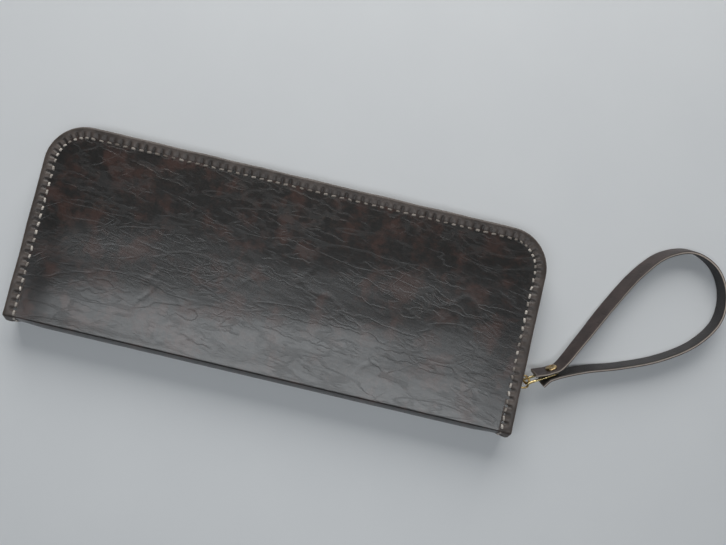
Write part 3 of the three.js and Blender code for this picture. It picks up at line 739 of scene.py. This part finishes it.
zip_weave = Finish("zip_weave", Roughness=0.88, Sheen_Weight=0.2)
ribs = (zip_weave.attribute("run") * (2 * math.pi / 0.9)).maths("SINE")
tape_height = zip_weave.add("SeparateXYZ", {}, {0: zip_weave.millimetres()}, "Z")
courses = (tape_height * (2 * math.pi / 0.62)).maths("SINE")
herringbone = ribs * courses
zip_weave.feed("Base Color", zip_weave.colours(
    herringbone * 0.5 + 0.5, (0.010, 0.0078, 0.0066, 1), (0.034, 0.026, 0.022, 1)))
zip_weave.relief(herringbone + zip_weave.noise(1.2, 2), 0.00010)
for zip_tape_name in FOLDS:
    zip_tape_half(zip_tape_name).data.materials.append(zip_weave.material)


# Zip coils. Each half is one nylon filament wound into a flattened coil and sewn along its tape.
# The heads of one half's turns lock between the heads of the other's at mid-height.
COIL_PITCH = 1.7 * MM
COIL_WIRE = 0.33 * MM


def squared_off(value, power):
    """A sine or cosine with its size raised to a power below 1 and its sign kept: rounded corners."""
    return np.sign(value) * np.abs(value) ** power


def coil_half(half):
    """A flattened helix: inset and height follow a rounded rectangle as the turn angle grows."""
    coil_low, coil_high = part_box("back_zip_coil")
    left_y, right_y = coil_low.y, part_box("back_top_stop")[1].y + 0.6 * MM
    along, point, inward = rim_run(left_y, right_y, 0.2 * MM)
    turns = int(along[-1] / COIL_PITCH) - 1
    per_turn, sides = 14, 6
    angle = np.arange(turns * per_turn) * (2 * math.pi / per_turn)
    lead = 0.5 * COIL_PITCH if half == "front" else 0.0
    at = lead + COIL_PITCH * angle / (2 * math.pi)
    base = np.stack([np.interp(at, along, point[:, k]) for k in (0, 1)], 1)
    inwards = np.stack([np.interp(at, along, inward[:, k]) for k in (0, 1)], 1)
    inset_low = HALF_LENGTH - coil_high.x + COIL_WIRE
    inset_high = TAPE_INSET - COIL_WIRE * 0.8
    foot, head = coil_low.z + COIL_WIRE, THICKNESS / 2 + 0.55 * MM

    inset = (inset_low + inset_high) / 2 - (inset_high - inset_low) / 2 * squared_off(np.cos(angle), 0.55)
    height = (foot + head) / 2 + (head - foot) / 2 * squared_off(np.sin(angle), 0.55)
    flat = base + inwards * inset[:, None]
    path = np.concatenate([flat, height[:, None]], 1)
    forward = np.gradient(path, axis=0)
    forward /= np.linalg.norm(forward, axis=1, keepdims=True)
    run_way = np.stack([-inwards[:, 1], inwards[:, 0], np.zeros(angle.size)], 1)
    side = run_way - forward * (run_way * forward).sum(1, keepdims=True)
    side /= np.linalg.norm(side, axis=1, keepdims=True)
    other = np.cross(forward, side)
    around = np.linspace(0, 2 * math.pi, sides, endpoint=False)
    place = (path[:, None] + COIL_WIRE * (side[:, None] * np.cos(around)[None, :, None]
                                          + other[:, None] * np.sin(around)[None, :, None]))
    caps = end_caps(angle.size, sides)
    turn = -FOLDS[half]
    made = piece(f"{half}_zip_coil_wire", turn_over(place, turn),
                 grid_faces(angle.size, sides, wrap_columns=True), caps)
    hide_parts(f"{half}_zip_coil")
    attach(made, half)
    return made


nylon = Finish("nylon", Roughness=0.34)
nylon_tone = nylon.noise(6, 3)
nylon.feed("Base Color", nylon.colours(nylon_tone, (0.018, 0.0135, 0.0115, 1), (0.046, 0.036, 0.031, 1)))
nylon.relief(nylon.noise(0.5, 2), 0.00002)
for coil_name in FOLDS:
    coil_half(coil_name).data.materials.append(nylon.material)


# Zip stops. Small stamped clips pressed over the ends of the coils: one on each tape where the
# slider stops when the case is closed, and a wider one across both at the other end.
def stamped_clip(name, body):
    """A rounded block: a superellipsoid of power 5 that fills the clip's box, with two crimp lines."""
    low, high = (np.array(corner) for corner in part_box(name))
    rows, columns, power = 17, 28, 0.4
    longitude = np.linspace(0, 2 * math.pi, columns, endpoint=False)
    latitude = np.linspace(-math.pi / 2 + 0.02, math.pi / 2 - 0.02, rows)
    ring = squared_off(np.cos(latitude), power)[:, None]
    level = np.broadcast_to(squared_off(np.sin(latitude), power)[:, None], (rows, columns))
    unit = np.stack([ring * squared_off(np.cos(longitude), power),
                     ring * squared_off(np.sin(longitude), power), level], -1)
    crimp = 1 - 0.12 * np.exp(-(unit[..., 2] / 0.22) ** 2)
    unit[..., 0] *= crimp
    place = (low + high) / 2 + unit * (high - low) / 2
    made = piece(f"{name}_clip", place, grid_faces(rows, columns, wrap_columns=True),
                 end_caps(rows, columns))
    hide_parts(name)
    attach(made, body)
    return made


def brass(name, bright, dull, roughness):
    """Worn brass: dull and slightly browner in patches, brighter between them."""
    finish = Finish(name, Metallic=1.0)
    tarnish = finish.noise(2.4, 5, 0.65).between(0.38, 0.68)
    scratches = finish.noise(0.6, 3, 0.6, finish.millimetres(0.4, 3.0, 3.0))
    finish.feed("Base Color", finish.colours(tarnish, bright, dull))
    finish.feed("Roughness", roughness + tarnish * 0.16 + scratches * 0.06)
    finish.relief(scratches, 0.000012)
    return finish.material


stop_brass = brass("stop_brass", (0.62, 0.45, 0.20, 1), (0.33, 0.22, 0.10, 1), 0.30)
for stop_name, stop_body in (("front_top_stop", "front"), ("back_top_stop", "back"), ("bottom_stop", "back")):
    stamped_clip(stop_name, stop_body).data.materials.append(stop_brass)


# Slider. A die-cast brass body: an outer and an inner plate joined by a wedge at the nose, with
# the outer plate's sides turned in over the coils, and an arched bail on top for the ring.
def dished_plate(x_low, x_high, crown):
    """Rings of one outline, shrinking to the middle on both faces and rounded between them.

    The outline in y and z is a superellipse that narrows towards the tail; the outer face is
    crowned by one minus the square of the ring's size.
    """
    low, high = (np.array(corner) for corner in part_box("zip_slider"))
    middle_y, half_y = (low[1] + high[1]) / 2, (high[1] - low[1]) / 2
    middle_z, half_z = (low[2] + high[2]) / 2, (high[2] - low[2]) / 2
    angle = np.linspace(0, 2 * math.pi, 48, endpoint=False)
    size = np.concatenate([[0.02, 0.3, 0.55, 0.78, 0.9, 0.97, 1.0], [1.0, 0.97, 0.9, 0.55, 0.02]])
    edge = 0.35 * MM
    level = np.concatenate([x_high - crown * size[:5] ** 2,
                            [x_high - crown - 0.3 * edge, x_high - crown - edge],
                            [x_low + edge, x_low + 0.3 * edge, x_low, x_low, x_low]])
    along = squared_off(np.cos(angle), 0.62)
    width = squared_off(np.sin(angle), 0.62)
    taper = 1 - 0.10 * (along + 1)
    y = middle_y + half_y * size[:, None] * along[None, :]
    z = middle_z + half_z * size[:, None] * (width * taper)[None, :]
    x = np.broadcast_to(level[:, None], y.shape)
    return np.stack([x, y, z], -1)


def rounded_bar(low, high):
    """A bar along y with a rounded rectangular section, as two short end rings and a body."""
    low, high = np.array(low), np.array(high)
    angle = np.linspace(0, 2 * math.pi, 20, endpoint=False)
    section_x = squared_off(np.cos(angle), 0.5)
    section_z = squared_off(np.sin(angle), 0.5)
    step = np.array([-1, -0.97, -0.9, 0.9, 0.97, 1])
    size = np.array([0.5, 0.85, 1, 1, 0.85, 0.5])
    half = (high - low) / 2
    along = np.broadcast_to(step[:, None] * half[1], (step.size, angle.size))
    return np.stack([size[:, None] * section_x * half[0], along,
                     size[:, None] * section_z * half[2]], -1) + (low + high) / 2


def joined(name, grids):
    """One piece from several closed grids, each wrapped round and capped at both its ends."""
    points, quads, caps, start = [], [], [], 0
    for grid in grids:
        rows, columns = grid.shape[:2]
        faces = grid_faces(rows, columns, wrap_columns=True)
        flat = grid.reshape(-1, 3)
        ends = [list(cap) for cap in end_caps(rows, columns)]
        if enclosed_volume(flat - flat.mean(0), faces) < 0:
            faces = faces[:, ::-1]
            ends = [end[::-1] for end in ends]
        points.append(flat)
        quads.append(faces + start)
        caps += [[corner + start for corner in end] for end in ends]
        start += flat.shape[0]
    return piece(name, np.concatenate(points), np.concatenate(quads), caps)


slider_low, slider_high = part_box("zip_slider")
PLATE = 1.2 * MM
nose_y, tail_y = slider_low.y, slider_high.y
slider_middle = (slider_low.z + slider_high.z) / 2
rim_from = HALF_LENGTH - TAPE_INSET + 0.2 * MM
slider_parts = [
    dished_plate(slider_high.x - PLATE, slider_high.x + 0.25 * MM, 0.3 * MM),
    dished_plate(slider_low.x, slider_low.x + PLATE, 0.1 * MM),
    rounded_bar((slider_low.x + 0.8 * MM, nose_y + 0.4 * MM, slider_middle - 0.4 * MM),
                (slider_high.x - 0.8 * MM, nose_y + 2.6 * MM, slider_middle + 0.4 * MM)),
]
for rim_z in (slider_low.z, slider_high.z - 0.8 * MM):
    slider_parts.append(rounded_bar((rim_from, nose_y + 1.6 * MM, rim_z),
                                    (slider_high.x - 0.6 * MM, tail_y - 1.6 * MM, rim_z + 0.8 * MM)))
slider_piece = joined("slider_body", slider_parts)

bail_low, bail_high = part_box("slider_bail")
arch = np.linspace(math.pi, 0, 33)
arch_wall = 0.55 * MM
arch_y = ((bail_low.y + bail_high.y) / 2
          + ((bail_high.y - bail_low.y) / 2 - arch_wall) * squared_off(np.cos(arch), 0.62))
arch_rise = bail_high.x - bail_low.x + 0.5 * MM - arch_wall
arch_x = bail_low.x - 0.5 * MM + arch_rise * np.abs(np.sin(arch)) ** 0.62
arch_path = np.stack([arch_x, arch_y, np.full(arch.size, slider_middle)], 1)
arch_way = np.gradient(arch_path, axis=0)
arch_way /= np.linalg.norm(arch_way, axis=1, keepdims=True)
arch_side = np.stack([arch_way[:, 1], -arch_way[:, 0], 0 * arch], 1)
arch_round = np.linspace(0, 2 * math.pi, 20, endpoint=False)
arch_flat = squared_off(np.cos(arch_round), 0.7)
arch_wide = squared_off(np.sin(arch_round), 0.5)
bail_width = (bail_high.z - bail_low.z) / 2 * (0.82 + 0.18 * np.abs(np.cos(arch)))
bail_grid = (arch_path[:, None] + arch_side[:, None] * (arch_wall * arch_flat)[None, :, None]
             + np.array([0, 0, 1.0]) * (bail_width[:, None] * arch_wide[None, :])[..., None])
bail_piece = joined("slider_bail_arch", [bail_grid])

slider_brass = brass("slider_brass", (0.66, 0.49, 0.22, 1), (0.36, 0.25, 0.12, 1), 0.24)
for slider_part, slider_node in ((slider_piece, "zip_slider"), (bail_piece, "slider_bail")):
    slider_part.data.materials.append(slider_brass)
    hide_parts(slider_node)
    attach(slider_part, "slider")


# Ring. Brass wire bent into a long rectangle with rounded corners and closed with a butt joint.
# It hangs in the bail and leans over a little, so its upper run covers the lower one.
swing = next(joint for joint in frame["joints"] if joint["name"] == "ring_swing")
RING_PIVOT = np.array(swing["pos_m"])
RING_ANGLE = math.radians(31)
RING_LEAN = math.radians(20)
RIVET_AT = 17.5 * MM
ring_along = np.array([math.cos(RING_ANGLE), math.sin(RING_ANGLE), 0])
ring_across = np.array([-math.sin(RING_ANGLE) * math.cos(RING_LEAN),
                        math.cos(RING_ANGLE) * math.cos(RING_LEAN), math.sin(RING_LEAN)])
ring_up = np.cross(ring_along, ring_across)


def by_ring(along, across, up=0.0):
    """A place in the ring's own frame: along it from its pivot, across it and up its height."""
    along, across, up = (np.asarray(value, float)[..., None] for value in (along, across, up))
    return RING_PIVOT + ring_along * along + ring_across * across + ring_up * up


def ring_wire():
    """A tube round a rectangle whose corners are quarter circles."""
    wire, corner, length, half = 0.8 * MM, 2.2 * MM, 20.0 * MM, 3.2 * MM
    rows, columns = 96, 14
    angle = np.linspace(0, 2 * math.pi, rows, endpoint=False)
    centre_along = np.where(np.cos(angle) >= 0, length - corner, corner)
    centre_up = np.where(np.sin(angle) >= 0, half - corner, corner - half)
    around = np.linspace(0, 2 * math.pi, columns, endpoint=False)
    reach = corner + wire * np.cos(around)[None, :]
    along = centre_along[:, None] + reach * np.cos(angle)[:, None]
    up = centre_up[:, None] + reach * np.sin(angle)[:, None]
    across = np.broadcast_to(wire * np.sin(around)[None, :], along.shape)
    made = piece("ring_wire", by_ring(along, across, up),
                 grid_faces(rows, columns, wrap_rows=True, wrap_columns=True))
    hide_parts("pull_ring")
    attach(made, "ring")
    return made


ring_wire().data.materials.append(
    brass("ring_brass", (0.80, 0.66, 0.34, 1), (0.52, 0.38, 0.17, 1), 0.18))


# Wrist strap. Two layers of leatherette glued back to back, with pale raw edges. Both ends lie
# on the ring and one rivet goes through them, and the loop stands on its long edge.
STRAP_HALF_WIDTH = 5 * MM
STRAP_OFFSET = 2.1 * MM
STRAP_THICK = 0.95 * MM
# Points on the middle line, in order, each with its lean in degrees: how far the top edge tips
# out of the loop.
strap_route = [
    (by_ring(6.5 * MM, 3.5 * MM), -20),
    (by_ring(10.2 * MM, 2.8 * MM), -20),
    (by_ring(RIVET_AT - 3.6 * MM, STRAP_OFFSET), -20),
    (by_ring(RIVET_AT, STRAP_OFFSET), -20),
    (by_ring(RIVET_AT + 3.6 * MM, STRAP_OFFSET + 0.1 * MM), -20),
    ((0.1805, 0.0025, 0.0082), -25),
    ((0.1935, 0.0275, 0.0059), -30),
    ((0.2075, 0.0515, 0.0056), -28),
    ((0.2205, 0.0655, 0.0055), -22),
    ((0.2365, 0.0712, 0.0054), -13),
    ((0.2515, 0.0650, 0.0053), -4),
    ((0.2597, 0.0510, 0.0053), 3),
    ((0.2595, 0.0340, 0.0053), 7),
    ((0.2490, 0.0180, 0.0053), 10),
    ((0.2300, 0.0042, 0.0054), 13),
    ((0.2070, -0.0060, 0.0057), 15),
    ((0.1870, -0.0126, 0.0072), 18),
    (by_ring(RIVET_AT + 3.8 * MM, -STRAP_OFFSET - 0.1 * MM), 20),
    (by_ring(RIVET_AT, -STRAP_OFFSET), 20),
    (by_ring(RIVET_AT - 3.4 * MM, -STRAP_OFFSET - 0.1 * MM), 20),
    (by_ring(11.6 * MM, -3.2 * MM), 20),
    (by_ring(9.2 * MM, -4.4 * MM), 20),
]


def smooth_route(points, per_span, power):
    """A Catmull-Rom curve: each span is a cubic through its ends, with knots spaced by distance^power."""
    points = np.array(points, float)
    padded = np.concatenate([[2 * points[0] - points[1]], points, [2 * points[-1] - points[-2]]])
    gaps = np.linalg.norm(np.diff(padded, axis=0), axis=1) ** power
    before, within, after = gaps[:-2, None, None], gaps[1:-1, None, None], gaps[2:, None, None]
    p0, p1, p2, p3 = (padded[k:k + len(points) - 1, None] for k in range(4))
    start_way = (p1 - p0) / before - (p2 - p0) / (before + within) + (p2 - p1) / within
    end_way = (p2 - p1) / within - (p3 - p1) / (within + after) + (p3 - p2) / after
    t = np.linspace(0, 1, per_span, endpoint=False)[None, :, None]
    curve = ((2 * t ** 3 - 3 * t ** 2 + 1) * p1 + (t ** 3 - 2 * t ** 2 + t) * start_way * within
             + (3 * t ** 2 - 2 * t ** 3) * p2 + (t ** 3 - t ** 2) * end_way * within)
    return np.concatenate([curve.reshape(-1, points.shape[1]), points[-1:]])


def strap_frame(steps):
    """Evenly spaced stations on the strap's middle line, with its outward and upward directions."""
    curve = smooth_route([place for place, _ in strap_route], 24, 0.5)
    lean = smooth_route([(lean, 0) for _, lean in strap_route], 24, 0.0)[:, 0]
    walked = np.concatenate([[0], np.cumsum(np.linalg.norm(np.diff(curve, axis=0), axis=1))])
    even = np.linspace(0, walked[-1], steps)
    middle = np.stack([np.interp(even, walked, curve[:, k]) for k in range(3)], 1)
    angle = np.radians(np.interp(even, walked, lean))[:, None]
    forward = np.gradient(middle, axis=0)
    forward /= np.linalg.norm(forward, axis=1, keepdims=True)
    level = np.cross([0, 0, 1.0], forward)
    level /= np.linalg.norm(level, axis=1, keepdims=True)
    up = np.array([0, 0, 1.0]) * np.cos(angle) + level * np.sin(angle)
    up -= forward * (up * forward).sum(1, keepdims=True)
    up /= np.linalg.norm(up, axis=1, keepdims=True)
    return even, middle, np.cross(up, forward), up


def strap_layer(name, node, side):
    """One layer: a rounded rectangular section on one side of the middle line, with a soft crown."""
    along, middle, out, up = strap_frame(280)
    thick, half = STRAP_THICK, STRAP_HALF_WIDTH
    face = np.linspace(-1, 1, 15)
    width = np.concatenate([face * (half - 0.22 * MM), [half - 0.05 * MM, half, half],
                            [half, half - 0.03 * MM], face[::-2] * (half - 0.1 * MM),
                            [-half + 0.03 * MM, -half, -half, -half + 0.05 * MM]])
    depth = np.concatenate([thick - 0.06 * MM * face ** 2, [0.84 * thick, 0.70 * thick, 0.42 * thick],
                            [0.14 * thick, 0.02 * MM], np.zeros(face[::-2].size) + 0.005 * MM,
                            [0.02 * MM, 0.30 * thick, 0.60 * thick, 0.84 * thick]])
    edge = smooth(np.abs(width), half - 0.24 * MM, half - 0.06 * MM)
    fuzz = 0.05 * MM * ripples(middle, 5 * MM, 83)[:, None] * (np.abs(width) > half - 0.1 * MM)
    place = (middle[:, None] + up[:, None] * (width[None, :] + fuzz * np.sign(width))[..., None]
             + side * out[:, None] * depth[None, :, None])
    rows, columns = along.size, width.size
    caps = end_caps(rows, columns)
    cut = np.exp(-np.minimum(along, along[-1] - along) / (0.15 * MM))[:, None]
    run = np.broadcast_to(along[:, None] / MM, (rows, columns))
    across = np.broadcast_to(width[None, :] / MM, (rows, columns))
    core = edge * (1 - smooth(depth, 0.24 * thick, 0.52 * thick))
    raw = np.maximum(np.broadcast_to(core[None, :], (rows, columns)), 0.2 * cut)
    made = piece(name, place, grid_faces(rows, columns, wrap_columns=True), caps,
                 raw=raw, run=run, width=across)
    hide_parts(node)
    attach(made, "strap")
    return made


def strap_leather(name, dark, warm):
    """Smooth fine-grained leatherette, with fine creases across it and a pale fibrous raw edge."""
    finish = Finish(name, IOR=1.5)
    flat = finish.add("CombineXYZ", {}, {0: finish.attribute("run"), 1: finish.attribute("width")})
    cloud = finish.noise(9, 4, 0.6, flat).between(0.35, 0.68)
    grain = finish.noise(0.9, 3, 0.6, flat)
    stretched = finish.add("VectorMath", {"operation": "MULTIPLY"}, {0: flat, 1: (1.0, 0.28, 1.0)})
    creases = finish.noise(1.6, 3, 0.6, stretched).between(0.52, 0.72)
    colour = finish.colours(cloud * 0.7 + grain * 0.3, dark, warm)
    # Painted shade: the base colour is darkened in the creases.
    colour = finish.colours(creases * 0.35, colour, tuple(0.4 * c for c in dark[:3]) + (1.0,))
    fibres = finish.noise(0.7, 3)
    pale = finish.colours(fibres, (0.34, 0.28, 0.24, 1), (0.68, 0.60, 0.53, 1))
    raw = finish.attribute("raw")
    finish.feed("Base Color", finish.colours(raw, colour, pale))
    finish.feed("Roughness", 0.42 + grain * 0.14 + raw * 0.3)
    finish.relief(grain * 0.8 - creases * 0.7 + fibres * raw, 0.00013)
    return finish.material


strap_layer("strap_face_leather", "strap_face", 1).data.materials.append(
    strap_leather("strap_leather", (0.022, 0.0145, 0.013, 1), (0.054, 0.036, 0.033, 1)))
strap_layer("strap_backing_leather", "strap_backing", -1).data.materials.append(
    strap_leather("strap_backing_leather", (0.0095, 0.0075, 0.0072, 1), (0.022, 0.0175, 0.017, 1)))


# Rivet. A brass post with a flat head goes through the lower strap end, the ring and the upper
# strap end, and a domed cap is pressed over its tip.
STRAP_FACE = STRAP_OFFSET + STRAP_THICK


def spun(name, profile, node):
    """A profile of radius and height turned round the rivet's axis, which crosses the strap."""
    radius, height = np.array(profile).T
    angle = np.linspace(0, 2 * math.pi, 40, endpoint=False)
    along = RIVET_AT + radius[:, None] * np.cos(angle)
    up = radius[:, None] * np.sin(angle)
    across = np.broadcast_to(height[:, None], along.shape)
    made = joined(name, [by_ring(along, across, up)])
    made.data.materials.append(rivet_brass)
    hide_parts(node)
    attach(made, "strap")


rivet_brass = brass("rivet_brass", (0.58, 0.43, 0.22, 1), (0.20, 0.135, 0.075, 1), 0.22)
dome = np.linspace(0, 1, 16)
cap_radius = 3.5 * MM * np.sin(dome * math.pi / 2)
cap_height = STRAP_FACE + 0.15 * MM + 1.05 * MM * np.cos(dome * math.pi / 2) ** 0.8
cap_height -= 0.55 * MM * (1 - smooth(cap_radius, 0.9 * MM, 2.1 * MM))
cap_profile = [(0.05 * MM, cap_height[0]), *zip(cap_radius[1:], cap_height[1:]),
               (3.45 * MM, STRAP_FACE - 0.05 * MM), (3.0 * MM, STRAP_FACE - 0.15 * MM),
               (0.05 * MM, STRAP_FACE - 0.15 * MM)]
spun("rivet_cap_dome", cap_profile, "rivet_cap")
post_profile = [(0.05 * MM, STRAP_FACE), (1.1 * MM, STRAP_FACE), (1.2 * MM, STRAP_FACE - 0.2 * MM),
                (1.2 * MM, -STRAP_FACE + 0.2 * MM), (1.4 * MM, -STRAP_FACE), (3.1 * MM, -STRAP_FACE),
                (3.45 * MM, -STRAP_FACE - 0.2 * MM), (3.4 * MM, -STRAP_FACE - 0.6 * MM),
                (2.9 * MM, -STRAP_FACE - 0.9 * MM), (1.6 * MM, -STRAP_FACE - 1.0 * MM),
                (0.05 * MM, -STRAP_FACE - 0.85 * MM)]
spun("rivet_post_turned", post_profile, "rivet_post")


# Table and light. A plain pale table top and soft studio light: a broad window-like panel beyond
# the far edge, a long soft box overhead on the spine side, and a surround that dims upwards.
table_mesh = bpy.data.meshes.new("table_top")
TABLE_HALF, TABLE_LEVEL = 3.0, -0.0002
table_corners = [(TABLE_HALF * x, TABLE_HALF * y, TABLE_LEVEL)
                 for x, y in ((-1, -1), (1, -1), (1, 1), (-1, 1))]
table_mesh.from_pydata(table_corners, [], [(0, 1, 2, 3)])
table_top = bpy.data.objects.new("table_top", table_mesh)
bpy.context.scene.collection.objects.link(table_top)
table_paint = Finish("table_paint", Roughness=0.45)
table_tone = table_paint.noise(60, 3)
table_paint.feed("Base Color", table_paint.colours(table_tone, (0.66, 0.68, 0.70, 1), (0.70, 0.72, 0.735, 1)))
table_mesh.materials.append(table_paint.material)


def soft_box(name, place, aim, size, power, colour):
    """A rectangular area light at a place, turned to face a point."""
    data = bpy.data.lights.new(name, "AREA")
    data.shape = "RECTANGLE"
    data.size, data.size_y = size
    data.energy = power
    data.color = colour
    lamp = bpy.data.objects.new(name, data)
    lamp.location = place
    away = np.array(place) - np.array(aim)
    lamp.rotation_euler = (math.atan2(math.hypot(away[0], away[1]), away[2]), 0,
                           math.atan2(away[0], -away[1]))
    bpy.context.scene.collection.objects.link(lamp)


soft_box("window_light", (-0.12, 1.02, 0.68), (0, 0, 0), (1.3, 0.9), 13.5, (1.0, 0.99, 0.97))
soft_box("overhead_light", (0.0, -0.28, 1.25), (0, -0.03, 0), (1.25, 0.30), 5.2, (0.93, 0.97, 1.0))
surround = bpy.data.worlds.new("surround")
surround.use_nodes = True
sky = surround.node_tree.nodes
sky_way = sky.new("ShaderNodeTexCoord")
sky_height = sky.new("ShaderNodeSeparateXYZ")
sky_tone = sky.new("ShaderNodeMapRange")
sky_tone.inputs["From Min"].default_value = 0.0
sky_tone.inputs["From Max"].default_value = 0.85
sky_tone.inputs["To Min"].default_value = 0.2
sky_tone.inputs["To Max"].default_value = 0.04
sky["Background"].inputs["Color"].default_value = (0.86, 0.92, 1.0, 1)
surround.node_tree.links.new(sky_way.outputs["Generated"], sky_height.inputs[0])
surround.node_tree.links.new(sky_height.outputs["Z"], sky_tone.inputs["Value"])
surround.node_tree.links.new(sky_tone.outputs["Result"], sky["Background"].inputs["Strength"])
bpy.context.scene.world = surround
